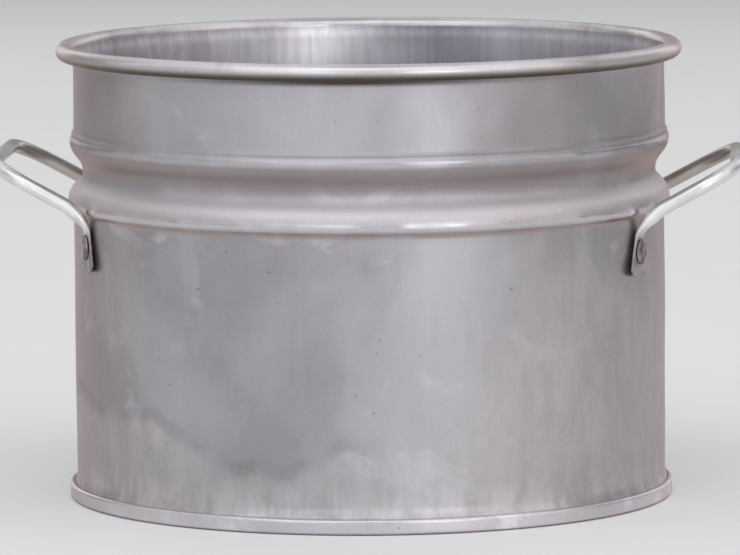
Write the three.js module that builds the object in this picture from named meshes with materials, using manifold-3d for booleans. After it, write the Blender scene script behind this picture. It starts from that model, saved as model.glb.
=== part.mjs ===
// A two-handled sheet-metal tub: zinc-coated steel, 210 mm across and 162 mm high.
// Millimetres, +Z up. The origin is the centre of the bottom, on the surface that the tub stands
// on, and the handles stand out along +X and -X.
//
// The wall is one sheet, rolled into a cylinder. A bead, a neck and a shoulder are rolled into it,
// its top edge is curled round a steel wire, and its bottom edge is turned out and folded into the
// seam of the countersunk base. Each handle is one bent wire, whose ends are hammered flat and
// riveted to the wall.
import * as THREE from 'three';
import { mergeVertices } from 'three/addons/utils/BufferGeometryUtils.js';
import Module from 'manifold-3d';

const wasm = await Module();
wasm.setup();

const radians = THREE.MathUtils.degToRad;

// ---- Overall sizes ----
const height = 162;
const wallRadius = 105;
const sheet = 0.55;

// ---- Wired rim: the sheet curls outwards round a steel ring ----
const rimWireRadius = 2.3;
const rimWireClearance = 0.15;
const rimFlare = 0.75;
const rimFlareHeight = 5;
const curlSweep = radians(305);

// ---- Rolled features of the wall: how far below the top, and how far proud of the plain wall ----
const bandFoot = { below: 31, proud: 0 };
const beadEdge = { below: 31.8, proud: 1.1 };
const bead = { below: 34, proud: 1.35 };
const neck = { below: 46, proud: -3.3 };
const shoulder = { below: 56.5, proud: 2 };
const shoulderFoot = { below: 60.5, proud: 0 };

// ---- Countersunk base and its folded seam, where the wall flares out to meet the seam's lip ----
const footFlare = 0.9;
const footFlareBend = 9;
const floorLevel = 5;
const seamHeight = 5.5;
const seamProud = 2.6;
const seamBend = 1.1;
const seamClearance = 0.1;
const seamLipClearance = 0.25;
const flangeRise = 0.3;
const flangeTipClearance = 0.35;
const flangeBend = 0.5;

// ---- Handles ----
const handleWireRadius = 2.5;
const gripStandout = 26;
const gripHalfWidth = 42.4;
const armRise = radians(28.2);
const elbowBend = 12;
const gripBend = 16;
const handleUnevenness = 0.8;
const footHalfSpacing = 43.3;
const footTilt = radians(5);
const footWidth = 15;
const footThickness = 1.2;
const footBelowRivet = 8.4;
const footRounding = 2.4;
const footTipWidth = 9;
const footTaper = 14.6;
const footThickening = 8;
const footSquareness = 4.5;
const footClearance = 0.3;

// ---- Rivets ----
const rivetShankRadius = 2.2;
const rivetHeadRadius = 4.4;
const rivetHeadHeight = 1.2;
const rivetTailRadius = 3.8;
const rivetTailHeight = 1;
const rivetClearance = 0.25;
const rivetTailClearance = 0.45;
const rivetHoleLength = 12;

// ---- Facets ----
const roundSegments = 60;
const rivetSegments = 14;
const wireSides = 10;
const sameSpot = 1e-5;

const zinc = { roughness: 0.48, metalness: 0.85 };
const materials = {
  wall: new THREE.MeshStandardMaterial({ color: 0x9a9898, ...zinc }),
  base: new THREE.MeshStandardMaterial({ color: 0xa3a2a3, ...zinc }),
  rimWire: new THREE.MeshStandardMaterial({ color: 0x6f6c6a, roughness: 0.6, metalness: 0.9 }),
  handle: new THREE.MeshStandardMaterial({ color: 0xb9b9bd, roughness: 0.3, metalness: 1 }),
  rivet: new THREE.MeshStandardMaterial({ color: 0x857a78, roughness: 0.5, metalness: 0.9 }),
};

const point = (radius, level) => new THREE.Vector2(radius, level);

const onWall = ({ below, proud }) => point(wallRadius + proud, height - below);

// A mesh with a name, a material and its shape already in place.
function part(name, geometry, material) {
  const mesh = new THREE.Mesh(geometry, material);
  mesh.name = name;
  return mesh;
}

// ---- Sheet metal ----

// The closed outline of a bent sheet: one face follows the path, the other lies to its left.
function sheetOutline(face, thickness) {
  const normals = face.map((_, i) => {
    const before = face[Math.max(i - 1, 0)];
    const here = face[i];
    const after = face[Math.min(i + 1, face.length - 1)];
    const incoming = i > 0 ? here.clone().sub(before) : after.clone().sub(here);
    const outgoing = i < face.length - 1 ? after.clone().sub(here) : incoming.clone();
    const left = [incoming, outgoing].map((run) => point(-run.y, run.x).normalize());
    const middle = left[0].clone().add(left[1]).normalize();
    return middle.divideScalar(middle.dot(left[0]));
  });
  const back = face.map((here, i) => here.clone().addScaledVector(normals[i], thickness));
  return [...face, ...back.reverse()];
}

// A smooth rise between two places where the wall stands upright. Bias above a half carries the
// first radius further up.
function curveUpright(path, from, to, bias = 0.5) {
  const rise = to.y - from.y;
  const first = point(from.x, from.y + rise * bias);
  const second = point(to.x, to.y - rise * (1 - bias));
  path.bezierCurveTo(first.x, first.y, second.x, second.y, to.x, to.y);
}

// Points along a path, with a set number of steps in each of its curves and none twice.
function samplePath(path, stepsPerCurve) {
  const points = [path.curves[0].getPoint(0)];
  path.curves.forEach((curve, i) => {
    for (let step = 1; step <= stepsPerCurve[i]; step += 1) {
      const next = curve.getPoint(step / stepsPerCurve[i]);
      if (next.distanceTo(points.at(-1)) > sameSpot) {
        points.push(next);
      }
    }
  });
  return points;
}

function revolve(outline, segments) {
  return new THREE.LatheGeometry(outline, segments).rotateX(Math.PI / 2);
}

const curlRadius = rimWireRadius + rimWireClearance;
const rimCentre = point(wallRadius + rimFlare + curlRadius, height - curlRadius - sheet);
const footRadius = wallRadius + footFlare;

// The wall's outer face, from the tip of its bottom flange to the end of the curl.
function wallFace() {
  const flangeTop = sheet + flangeRise + sheet;
  const flangeTip = wallRadius + seamProud - sheet - flangeTipClearance;
  const [rollFoot, roll, waist, crest, edge, band] = [
    shoulderFoot, shoulder, neck, bead, beadEdge, bandFoot,
  ].map(onWall);
  const flareStart = point(wallRadius, rimCentre.y - rimFlareHeight);
  const flareEnd = point(wallRadius + rimFlare, rimCentre.y);
  const flangeCorner = point(footRadius + flangeBend, flangeTop + flangeBend);
  const flareTurn = Math.acos(1 - footFlare / footFlareBend);
  const flareCentre = point(
    wallRadius + footFlareBend,
    seamHeight + footFlareBend * Math.sin(flareTurn),
  );

  const path = new THREE.Path();
  path.moveTo(flangeTip, flangeTop);
  path.lineTo(flangeCorner.x, flangeTop);
  path.absarc(flangeCorner.x, flangeCorner.y, flangeBend, -Math.PI / 2, -Math.PI, true);
  path.lineTo(footRadius, seamHeight);
  path.absarc(flareCentre.x, flareCentre.y, footFlareBend, Math.PI + flareTurn, Math.PI, true);
  path.lineTo(rollFoot.x, rollFoot.y);
  curveUpright(path, rollFoot, roll);
  curveUpright(path, roll, waist, 0.65);
  curveUpright(path, waist, crest);
  path.lineTo(edge.x, edge.y);
  path.lineTo(band.x, band.y);
  path.lineTo(flareStart.x, flareStart.y);
  curveUpright(path, flareStart, flareEnd);
  path.absarc(rimCentre.x, rimCentre.y, curlRadius, Math.PI, Math.PI - curlSweep, true);

  const steps = path.curves.map((curve) => {
    const bend = curve.isCubicBezierCurve ? 5 : 2;
    return curve.isLineCurve ? 1 : bend;
  });
  steps[steps.length - 1] = 9;
  return samplePath(path, steps);
}

// The face of the base that shows from below and outside, from the axis to the lip of the seam.
function baseFace() {
  const upstand = footRadius - sheet - seamClearance - sheet;
  const seam = wallRadius + seamProud;
  const underFloor = floorLevel - sheet;
  const quarter = Math.PI / 2;

  const path = new THREE.Path();
  path.moveTo(0, underFloor);
  path.lineTo(upstand - seamBend, underFloor);
  path.absarc(upstand - seamBend, underFloor - seamBend, seamBend, quarter, 0, true);
  path.lineTo(upstand, seamBend);
  path.absarc(upstand + seamBend, seamBend, seamBend, -2 * quarter, -quarter, false);
  path.lineTo(seam - seamBend, 0);
  path.absarc(seam - seamBend, seamBend, seamBend, -quarter, 0, false);
  path.lineTo(seam, seamHeight - seamBend);
  path.absarc(seam - seamBend, seamHeight - seamBend, seamBend, 0, quarter, false);
  path.lineTo(footRadius + seamLipClearance, seamHeight);
  return samplePath(path, path.curves.map((curve) => (curve.isLineCurve ? 1 : 2)));
}

function rimWireShape() {
  const sides = 8;
  const outline = [];
  for (let side = 0; side <= sides; side += 1) {
    const angle = -2 * Math.PI * (side / sides);
    outline.push(point(
      rimCentre.x + rimWireRadius * Math.cos(angle),
      rimCentre.y + rimWireRadius * Math.sin(angle),
    ));
  }
  return revolve(outline.reverse(), roundSegments);
}

// ---- Joining and cutting ----

function toSolid(geometry) {
  const bare = geometry.clone();
  bare.deleteAttribute('normal');
  bare.deleteAttribute('uv');
  const merged = mergeVertices(bare, sameSpot);
  return new wasm.Manifold(new wasm.Mesh({
    numProp: 3,
    vertProperties: new Float32Array(merged.attributes.position.array),
    triVerts: new Uint32Array(merged.index.array),
  }));
}

function toGeometry(solid) {
  const mesh = solid.getMesh();
  const geometry = new THREE.BufferGeometry();
  geometry.setAttribute('position', new THREE.BufferAttribute(mesh.vertProperties, 3));
  geometry.setIndex(new THREE.BufferAttribute(mesh.triVerts, 1));
  geometry.computeVertexNormals();
  return geometry;
}

function cut(geometry, tools) {
  let solid = toSolid(geometry);
  for (const tool of tools) {
    solid = solid.subtract(toSolid(tool));
  }
  return toGeometry(solid);
}

// ---- Feet of the handles: four places round the wall ----

// A foot's inner edge rests on the wall, and its outer edge stands off, because the foot is turned
// towards the middle of its handle. This is how far its inner face's middle is from the tub's axis.
function footDistance() {
  const half = footWidth / 2;
  const touch = wallRadius + footClearance;
  return half * Math.sin(footTilt) + Math.sqrt(touch ** 2 - (half * Math.cos(footTilt)) ** 2);
}

const footAngle = Math.asin(footHalfSpacing / wallRadius);
const footMiddle = new THREE.Vector3(
  footDistance() * Math.cos(footAngle),
  footDistance() * Math.sin(footAngle),
  0,
);
const footNormal = new THREE.Vector3(
  Math.cos(footAngle - footTilt),
  Math.sin(footAngle - footTilt),
  0,
);

// The elbow lies as far below the shoulder's crest as the shoulder stands proud, and its bend
// starts just above the rivet's head.
const elbowTurn = Math.PI / 2 - armRise;
const elbowSetback = elbowBend * Math.tan(elbowTurn / 2);
const elbowLevel = onWall(shoulder).y - shoulder.proud;
const rivetLevel = elbowLevel - elbowSetback - rivetClearance - rivetHeadRadius;

// Puts a shape that was made for the +X, +Y foot at any of the four feet.
function atFoot(geometry, { side, end }) {
  const placed = side === end ? geometry.clone() : mirrored(geometry);
  return placed.rotateZ(side > 0 ? 0 : Math.PI).translate(0, 0, -side * handleUnevenness);
}

// A copy with its left and right exchanged. Mirroring turns a surface inside out, so each triangle
// is wound the other way.
function mirrored(geometry) {
  const copy = geometry.clone().scale(1, -1, 1);
  const index = copy.index.array;
  for (let i = 0; i < index.length; i += 3) {
    [index[i], index[i + 1]] = [index[i + 1], index[i]];
  }
  return copy;
}

const feet = [
  { name: 'rivet_right_rear', side: 1, end: 1 },
  { name: 'rivet_right_front', side: 1, end: -1 },
  { name: 'rivet_left_rear', side: -1, end: 1 },
  { name: 'rivet_left_front', side: -1, end: -1 },
];

// ---- Rivets ----

const rivetHoleRadius = rivetShankRadius + rivetClearance;

// Turns a shape made round the Y axis, with its head towards +Y, into the +X, +Y foot's rivet.
function alongRivet(geometry) {
  const turn = new THREE.Quaternion().setFromUnitVectors(new THREE.Vector3(0, 1, 0), footNormal);
  return geometry
    .applyQuaternion(turn)
    .translate(footMiddle.x, footMiddle.y, rivetLevel);
}

// Heights are measured from the inner face of the foot.
function rivetShape() {
  const headBase = footThickness + rivetClearance;
  const tailSlope = rivetTailRadius * Math.sin(footTilt);
  const wallInside = footDistance() - wallRadius + sheet;
  const tailBase = -wallInside - tailSlope - rivetTailClearance;
  const outline = new THREE.Path();
  outline.moveTo(0, tailBase - rivetTailHeight);
  outline.lineTo(rivetTailRadius - rivetTailHeight, tailBase - rivetTailHeight);
  outline.lineTo(rivetTailRadius, tailBase - rivetTailHeight / 2);
  outline.lineTo(rivetTailRadius, tailBase);
  outline.lineTo(rivetShankRadius, tailBase);
  outline.lineTo(rivetShankRadius, headBase);
  outline.lineTo(rivetHeadRadius, headBase);
  const top = headBase + rivetHeadHeight;
  outline.bezierCurveTo(rivetHeadRadius, top, rivetHeadRadius / 2, top, 0, top);
  const points = samplePath(outline, outline.curves.map((curve) => (curve.isLineCurve ? 1 : 3)));
  return alongRivet(new THREE.LatheGeometry(points, rivetSegments));
}

function rivetHole() {
  return alongRivet(new THREE.CylinderGeometry(
    rivetHoleRadius, rivetHoleRadius, rivetHoleLength, rivetSegments,
  ));
}

// ---- Handles ----

// A quarter or part turn between two straight runs, as a Bezier curve close to a circular arc.
function bendCurve(before, corner, after, radius) {
  const incoming = corner.clone().sub(before).normalize();
  const outgoing = after.clone().sub(corner).normalize();
  const turn = incoming.angleTo(outgoing);
  const setback = radius * Math.tan(turn / 2);
  const reach = radius * (4 / 3) * Math.tan(turn / 4);
  const start = corner.clone().addScaledVector(incoming, -setback);
  const end = corner.clone().addScaledVector(outgoing, setback);
  return new THREE.CubicBezierCurve3(
    start,
    start.clone().addScaledVector(incoming, reach),
    end.clone().addScaledVector(outgoing, -reach),
    end,
  );
}

// Places along half of a handle, from the tip of the +Y foot to the middle of the grip. The path
// is the line of the full wire's centre, and where the wire is flattened its inner face stays put.
function halfHandleStations() {
  const wire = footMiddle.clone().addScaledVector(footNormal, handleWireRadius);
  const reach = wallRadius + gripStandout;
  const gripLevel = elbowLevel + (reach - wire.x) * Math.tan(armRise);
  const tip = new THREE.Vector3(wire.x, wire.y, rivetLevel - footBelowRivet);
  const elbow = new THREE.Vector3(wire.x, wire.y, elbowLevel);
  const corner = new THREE.Vector3(reach, gripHalfWidth, gripLevel);
  const middle = new THREE.Vector3(reach, 0, gripLevel);
  const elbowCurve = bendCurve(tip, elbow, corner, elbowBend);
  const cornerCurve = bendCurve(elbow, corner, middle, gripBend);

  const foot = new THREE.LineCurve3(tip, elbowCurve.v0);
  const rounding = footRounding / foot.getLength();
  const footSteps = [0, rounding * 0.35, rounding, 0.6, 0.9];
  const stations = footSteps.map((t) => stationOn(foot, t));
  addStations(stations, elbowCurve, 5);
  addStations(stations, cornerCurve, 7);
  stations.push({ centre: middle, along: new THREE.Vector3(0, -1, 0) });

  let across = new THREE.Vector3(-footNormal.y, footNormal.x, 0);
  for (const station of stations) {
    across = across.clone().addScaledVector(station.along, -across.dot(station.along)).normalize();
    const outwards = across.clone().cross(station.along);
    Object.assign(station, { across, outwards }, wireSection(station.centre.z - tip.z));
    const thinner = handleWireRadius - station.thickness / 2;
    station.centre = station.centre.clone().addScaledVector(outwards, -thinner);
  }
  return stations;
}

function stationOn(curve, t) {
  return { centre: curve.getPoint(t), along: curve.getTangent(t) };
}

function addStations(stations, curve, steps) {
  for (let step = 0; step <= steps; step += 1) {
    stations.push(stationOn(curve, step / steps));
  }
}

// The wire's section at a height above the foot's tip: flat and wide at the foot, round above it.
function wireSection(above) {
  const { clamp, lerp, smoothstep } = THREE.MathUtils;
  const wireWidth = handleWireRadius * 2;
  const aboveHead = footBelowRivet + rivetHeadRadius + rivetClearance;
  const tip = Math.sqrt(clamp(above / footRounding, 0, 1));
  const narrowing = clamp((above - footRounding) / footTaper, 0, 1);
  const thickening = smoothstep(above, aboveHead, aboveHead + footThickening);
  return {
    width: lerp(footTipWidth, lerp(footWidth, wireWidth, narrowing), tip),
    thickness: lerp(footThickness, wireWidth, thickening),
    squareness: lerp(footSquareness, 2, thickening),
  };
}

// A cylinder bent along the stations: its rings become the wire's sections.
function handleShape() {
  const half = halfHandleStations();
  const otherHalf = half.slice(0, -1).reverse().map((station) => ({
    ...station,
    centre: station.centre.clone().setY(-station.centre.y),
    along: station.along.clone().multiply(new THREE.Vector3(-1, 1, -1)),
    across: station.across.clone().setY(-station.across.y),
    outwards: station.outwards.clone().setY(-station.outwards.y),
  }));
  const stations = [...half, ...otherHalf];
  const steps = stations.length - 1;
  const geometry = new THREE.CylinderGeometry(1, 1, 1, wireSides, steps);
  const position = geometry.attributes.position;
  for (let i = 0; i < position.count; i += 1) {
    const station = stations[Math.round((position.getY(i) + 0.5) * steps)];
    const power = 2 / station.squareness;
    const side = (value) => Math.sign(value) * Math.abs(value) ** power;
    const place = station.centre.clone()
      .addScaledVector(station.across, side(position.getX(i)) * (station.width / 2))
      .addScaledVector(station.outwards, side(position.getZ(i)) * (station.thickness / 2));
    position.setXYZ(i, place.x, place.y, place.z);
  }
  return cut(geometry, [rivetHole(), mirrored(rivetHole())]);
}

function placedHandle(name, side) {
  const handle = part(name, handleShape(), materials.handle);
  handle.rotation.z = side > 0 ? 0 : Math.PI;
  handle.position.z = -side * handleUnevenness;
  return handle;
}

// ---- The tub ----

function wallShape() {
  const outline = sheetOutline(wallFace(), sheet);
  outline.push(outline[0].clone());
  return cut(revolve(outline, roundSegments), feet.map((foot) => atFoot(rivetHole(), foot)));
}

function baseShape() {
  return revolve(sheetOutline(baseFace(), sheet), roundSegments);
}

const tub = new THREE.Group();
tub.add(part('tub_wall', wallShape(), materials.wall));
tub.add(part('tub_base', baseShape(), materials.base));
tub.add(part('rim_wire', rimWireShape(), materials.rimWire));
tub.add(placedHandle('handle_right', 1));
tub.add(placedHandle('handle_left', -1));
for (const foot of feet) {
  tub.add(part(foot.name, atFoot(rivetShape(), foot), materials.rivet));
}

export default tub;
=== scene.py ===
"""The looks of a two-handled, zinc-coated tub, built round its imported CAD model.

Metres, +Z up, with the origin on the floor under the middle of the tub. The handles stand out
along +X and -X. Every CAD node is replaced by a finer piece of the same size: the rolled wall
with its side seam, the countersunk base, the rim's wire, two bent handles and four rivets.
"""
import math

import bmesh
import bpy
import numpy as np
from mathutils import Matrix, Vector, noise


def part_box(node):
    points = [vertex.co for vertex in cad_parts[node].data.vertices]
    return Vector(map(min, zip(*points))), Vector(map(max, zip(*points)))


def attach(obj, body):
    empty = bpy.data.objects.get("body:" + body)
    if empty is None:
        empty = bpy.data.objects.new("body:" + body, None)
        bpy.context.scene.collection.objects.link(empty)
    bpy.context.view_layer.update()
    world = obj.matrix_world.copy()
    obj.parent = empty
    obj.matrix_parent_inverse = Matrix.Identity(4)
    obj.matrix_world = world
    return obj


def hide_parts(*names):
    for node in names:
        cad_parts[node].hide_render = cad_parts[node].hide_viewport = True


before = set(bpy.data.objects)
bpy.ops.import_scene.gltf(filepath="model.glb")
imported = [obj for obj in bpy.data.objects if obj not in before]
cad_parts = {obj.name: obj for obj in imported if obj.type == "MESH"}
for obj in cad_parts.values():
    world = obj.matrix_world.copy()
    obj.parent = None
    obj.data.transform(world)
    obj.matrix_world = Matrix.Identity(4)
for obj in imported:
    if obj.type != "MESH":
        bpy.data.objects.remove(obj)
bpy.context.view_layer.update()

MM = 0.001
RANDOM_SEED = 11

# ---- What the frame gives: two far corners, and the level of a rivet's top ----
WALL_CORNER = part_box("tub_wall")[1]
BASE_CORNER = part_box("tub_base")[1]
RIVET_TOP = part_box("rivet_left_rear")[1].z

# ---- Sheet metal ----
SHEET = 0.55 * MM
HEIGHT = round(WALL_CORNER.z / MM) * MM
SEAM_PROUD = 2.6 * MM
SEAM_HEIGHT = BASE_CORNER.z
WALL_RADIUS = BASE_CORNER.x - SEAM_PROUD

# ---- Wired rim ----
RIM_WIRE_RADIUS = 2.3 * MM
CURL_RADIUS = 2.45 * MM
CURL_SWEEP = math.radians(305)
RIM_FLARE = 0.75 * MM
RIM_FLARE_HEIGHT = 5 * MM
RIM_LEVEL = HEIGHT - CURL_RADIUS - SHEET
RIM_CENTRE = (WALL_RADIUS + RIM_FLARE + CURL_RADIUS, RIM_LEVEL)

# ---- Rolled features of the wall: the level of each, and its radius with its level ----
BEAD_LEVEL = HEIGHT - 34.3 * MM
NECK_LEVEL = HEIGHT - 46 * MM
SHOULDER_LEVEL = HEIGHT - 56.5 * MM
ROLL_FOOT_LEVEL = HEIGHT - 60.5 * MM
BEAD_CREASE = (WALL_RADIUS + 0.62 * MM, HEIGHT - 32.3 * MM)
BEAD = (WALL_RADIUS + 1.35 * MM, BEAD_LEVEL)
NECK = (WALL_RADIUS - 3.3 * MM, NECK_LEVEL)
SHOULDER = (WALL_RADIUS + 2 * MM, SHOULDER_LEVEL)
SHOULDER_FOOT = (WALL_RADIUS, ROLL_FOOT_LEVEL)
SHOULDER_BIAS = 0.65

# ---- Ledge above the bead, where the upper band flares out ----
LEDGE_BEND = 3 * MM
LEDGE_TURN = math.radians(42)
LEDGE_LEVEL = HEIGHT - 31.8 * MM

# ---- Folded seam of the base, where the wall flares out to meet the seam's lip ----
FOOT_FLARE = 0.9 * MM
FOOT_FLARE_BEND = 9 * MM
FOOT_RADIUS = WALL_RADIUS + FOOT_FLARE
FLOOR_LEVEL = 5 * MM
SEAM_BEND = 1.1 * MM
SEAM_CLEARANCE = 0.1 * MM
SEAM_LIP_CLEARANCE = 0.25 * MM
FLANGE_CLEARANCE = 0.3 * MM
FLANGE_TIP_CLEARANCE = 0.35 * MM
FLANGE_LEVEL = 2 * SHEET + FLANGE_CLEARANCE
FLANGE_TIP = WALL_RADIUS + SEAM_PROUD - SHEET - FLANGE_TIP_CLEARANCE
FLANGE_BEND = 0.5 * MM

# ---- Side seam of the wall, which is lapped between the right handle's feet ----
LAP_AZIMUTH = math.radians(12)
LAP_WIDTH = 8 * MM
LAP_FADE = 14 * MM
LAP_EDGE = 0.12 * MM

# ---- Handles and their rivets ----
WIRE_RADIUS = 2.5 * MM
GRIP_HALF_WIDTH = 42.4 * MM
ARM_RISE = math.radians(28.2)
ELBOW_BEND = 12 * MM
GRIP_BEND = 16 * MM
FOOT_SPREAD = 43.3 * MM
FOOT_AZIMUTH = math.asin(FOOT_SPREAD / WALL_RADIUS)
FOOT_TILT = math.radians(5)
FOOT_WIDTH = 15 * MM
FOOT_TIP_WIDTH = 9 * MM
FOOT_THICKNESS = 1.2 * MM
FOOT_ROUNDING = 2.4 * MM
FOOT_TAPER = 14.6 * MM
FOOT_THICKENING = 8 * MM
FOOT_SQUARENESS = 4.5
FOOT_CLEARANCE = 0.3 * MM
RIVET_SHANK_RADIUS = 2.2 * MM
RIVET_HEAD_RADIUS = 4.4 * MM
RIVET_HEAD_HEIGHT = 1.2 * MM
RIVET_TAIL_RADIUS = 3.8 * MM
RIVET_TAIL_HEIGHT = 1 * MM
HEAD_FLATNESS = 0.5
TAIL_FLATNESS = 0.55
RIVET_CLEARANCE = 0.25 * MM
RIVET_TAIL_CLEARANCE = 0.45 * MM

# ---- Hand work: how far the real sheet and wire stray from the true shapes ----
OUT_OF_ROUND = 0.22 * MM
OVAL_TURN = 0.7
SHEET_WAVE = 0.16 * MM
SHEET_WAVES = {"count": 9, "orders": (3, 14), "climbs": (-3, 3)}
ROLLING_WAVE = 0.14 * MM
ROLLING_WAVES = {"count": 14, "orders": (9, 60), "climbs": (-1, 1)}
WIRE_WAVE = 0.12 * MM
HAMMER_MARK = 0.05 * MM
WIRE_WAVES_PER_METRE = 30
WIRE_DENTS_PER_METRE = 160
RIVET_DENTS_PER_METRE = 420
HANDLE_SEED = 7

# ---- Where the sheet is held truer: near the seam, near the rim and towards the axis ----
FIRM_FOOT = 25 * MM
FIRM_RIM = 20 * MM
RIM_GIVE = 0.2
AXIS_FADE = 4

# ---- How far from each rolled feature its rolling waves reach ----
BEAD_REACH = 4 * MM
SHOULDER_REACH = 6 * MM
RIM_REACH = 8 * MM

# ---- Fineness of the meshes ----
ROUND_STEPS = 420
CURL_STEPS = 44
RIM_WIRE_STEPS = 20
LEVEL_STEP = 2.5 * MM
FLOOR_STEP = 6 * MM
BAND_STEP = 0.8 * MM
NECK_STEPS = 20
ROLL_STEPS = 14
BEND_STEPS = 8
FLANGE_STEPS = 6
LEDGE_STEPS = 4
WIRE_SIDES = 36
TIP_STEPS = 8
FOOT_STEPS = 16
ELBOW_STEPS = 18
ARM_STEPS = 8
GRIP_CORNER_STEPS = 22
GRIP_STEPS = 14
RIVET_STEPS = 48
TAIL_STEPS = 10
HEAD_STEPS = 14
SHARP_ANGLE = math.radians(38)
WELD_DISTANCE = 1e-7

# ---- Colours ----
ZINC_CAST = (0.92, 0.9, 0.925)
GRAZING_TINT = (0.9, 0.75, 0.7)
WARM_TARNISH = (0.37, 0.335, 0.33)
DARK_DOT = (0.12, 0.11, 0.11)
COAT_DARK = (0.49, 0.48, 0.48)
COAT_LIGHT = (0.58, 0.57, 0.575)
SCUFF_AND_PAINTED_SHEEN = (0.72, 0.71, 0.72)
NECK_PAINTED_SHADE = (0.33, 0.285, 0.27)
PAINTED_SLOPE_LIGHT = (0.68, 0.665, 0.68)
RIM_PAINTED_SHADOW = (0.06, 0.05, 0.045)
ROLL_STAIN = (0.44, 0.345, 0.31)
WORN_ZINC = (0.74, 0.73, 0.74)
PAINTED_REFLECTION = (1, 1, 1)
PAINTED_DARK_REFLECTION = (0.38, 0.38, 0.42)
CURL_PAINTED_SHADE = (0.12, 0.11, 0.085)
SEAM_PAINTED_SHADE = (0.26, 0.19, 0.15)
WIRE_DARK = (0.72, 0.71, 0.7)
WIRE_LIGHT = (0.85, 0.85, 0.87)
WIRE_SCRATCH = (0.5, 0.47, 0.45)
WIRE_PAINTED_SHADE = (0.4, 0.36, 0.305)
FOOT_PAINTED_SHADE = (0.34, 0.32, 0.31)
FOOT_BROWN = (0.2, 0.165, 0.155)
STEEL_GREY = (0.3, 0.28, 0.27)
STEEL_RUST = (0.2, 0.14, 0.1)
RIVET_DARK = (0.19, 0.15, 0.155)
RIVET_LIGHT = (0.4, 0.35, 0.355)
GROUND_DARK = (0.86, 0.86, 0.86)
GROUND_LIGHT = (0.88, 0.88, 0.88)

# ---- Textures: noises, with their scale in bumps per metre ----
CLOUDS = {"scale": 13, "detail": 5, "roughness": 0.5, "distortion": 0.4}
BLOOMS = {"scale": 38, "along": (1, 1, 0.6), "distortion": 0.4}
SMUDGES = {"scale": 26, "along": (1, 1, 1.4), "detail": 4, "roughness": 0.6, "distortion": 0.6}
ROLLING = {"scale": 420, "along": (1, 1, 0.05), "detail": 4, "roughness": 0.65}
BROAD_ROLLING = {"scale": 110, "along": (1, 1, 0.08)}
SPECKS = {"scale": 1500, "detail": 2}
DOTS = {"scale": 560, "detail": 0}
WANDER = {"scale": 17, "along": (1, 1, 0.25)}
DRIPS = {"scale": 150, "along": (1, 1, 0.4), "detail": 5, "roughness": 0.7, "distortion": 0.4}
LINE_PATCHES = {"scale": 60, "detail": 2}
SCUFFS = {"scale": 150, "along": (1, 1, 0.35), "detail": 4, "roughness": 0.7}
ROLL_STAINS = {"scale": 75}
WIRE_CLOUDS = {"scale": 70}
SCRATCHES = {"scale": 900, "along": (0.25, 0.25, 1), "roughness": 0.6}
FOOT_STAINS = {"scale": 190}
STEEL_PATCHES = {"scale": 160, "detail": 5}
RIVET_PATCHES = {"scale": 330, "detail": 4}
MOTTLE = {"scale": 3}

# ---- How textures and wear show: a noise's values from and to, then what they become ----
USUAL = (0.3, 0.7)
CLOUD_SPAN = (0.37, 0.63)
BLOOM_SPAN = (0.56, 0.72, 0, 0.5)
BLOOM_GAIN = 1.12
SMUDGE_SPAN = (0.58, 0.7, 0, 0.6)
SMUDGE_GAIN = 1.35
TARNISH_SPAN = (0.46, 0.3, 0, 0.35)
DOT_SPAN = (0.84, 0.88, 0, 0.45)
SPECK_SHADES = (0.97, 1.03)
CLOUD_ROUGHNESS = 0.06
ROLLING_RELIEF = 0.2
SPECK_RELIEF = 0.25
DRIP_SPAN = (0.34, 0.66)
SCUFF_SPAN = (0.35, 0.65)
LINE_PATCH_SPAN = (0.35, 0.6, 0.2, 1)
ROLL_STAIN_SPAN = (0.3, 0.5, 0.3, 1)
WIRE_CLOUD_SPAN = (0.35, 0.65)
SCRATCH_SPAN = (0.6, 0.8, 0, 0.3)
FOOT_STAIN_SPAN = (0.4, 0.65)
STEEL_SPAN = (0.4, 0.65)
RIVET_SPAN = (0.38, 0.62)
WIRE_ROUGHNESS = (0.3, 0.4)
STEEL_ROUGHNESS = (0.4, 0.7)
RIVET_ROUGHNESS = (0.5, 0.34)
WORN_SHINE = 0.22
BEAD_WEAR = 0.4

# ---- Tide mark: from and to along X, then the level or the softness at each of them ----
TIDE_RIGHT = (8 * MM, 75 * MM, 25 * MM, 78 * MM)
TIDE_LEFT = (-45 * MM, -90 * MM, 0, 16 * MM)
TIDE_SOFTNESS = (10 * MM, 60 * MM, 5 * MM, 16 * MM)
TIDE_WANDER = (0.25, 0.75, -9 * MM, 9 * MM)

# ---- Line along the tide mark: where it fades along X, its height and reach, and its grey ----
LINE_FADE = (40 * MM, -30 * MM)
LINE_BAND = (1.6 * MM, 5.5 * MM)
LINE_SHADE = 0.86

# ---- Marks that start at one place and are full at another: levels, and Y for the rear one ----
SCUFF_AND_SHEEN_LEVELS = (19 * MM, 6 * MM, 0, 0.6)
NECK_SHADE_TOP = (BEAD_LEVEL - 1 * MM, BEAD_LEVEL - 2.6 * MM)
NECK_SHADE_FOOT = (NECK_LEVEL - 1 * MM, NECK_LEVEL + 3 * MM)
NEAR_RIM = (RIM_LEVEL - 9 * MM, RIM_LEVEL - 3 * MM)
UNDER_CURL = (RIM_LEVEL + 0.9 * MM, RIM_LEVEL - 2 * MM)
DULL_SHADED_FOOT = (RIVET_TOP + 4 * MM, RIVET_TOP - 3 * MM)
REAR_PAINTED_SHADE = (-5 * MM, 30 * MM, 0, 0.75)
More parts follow.
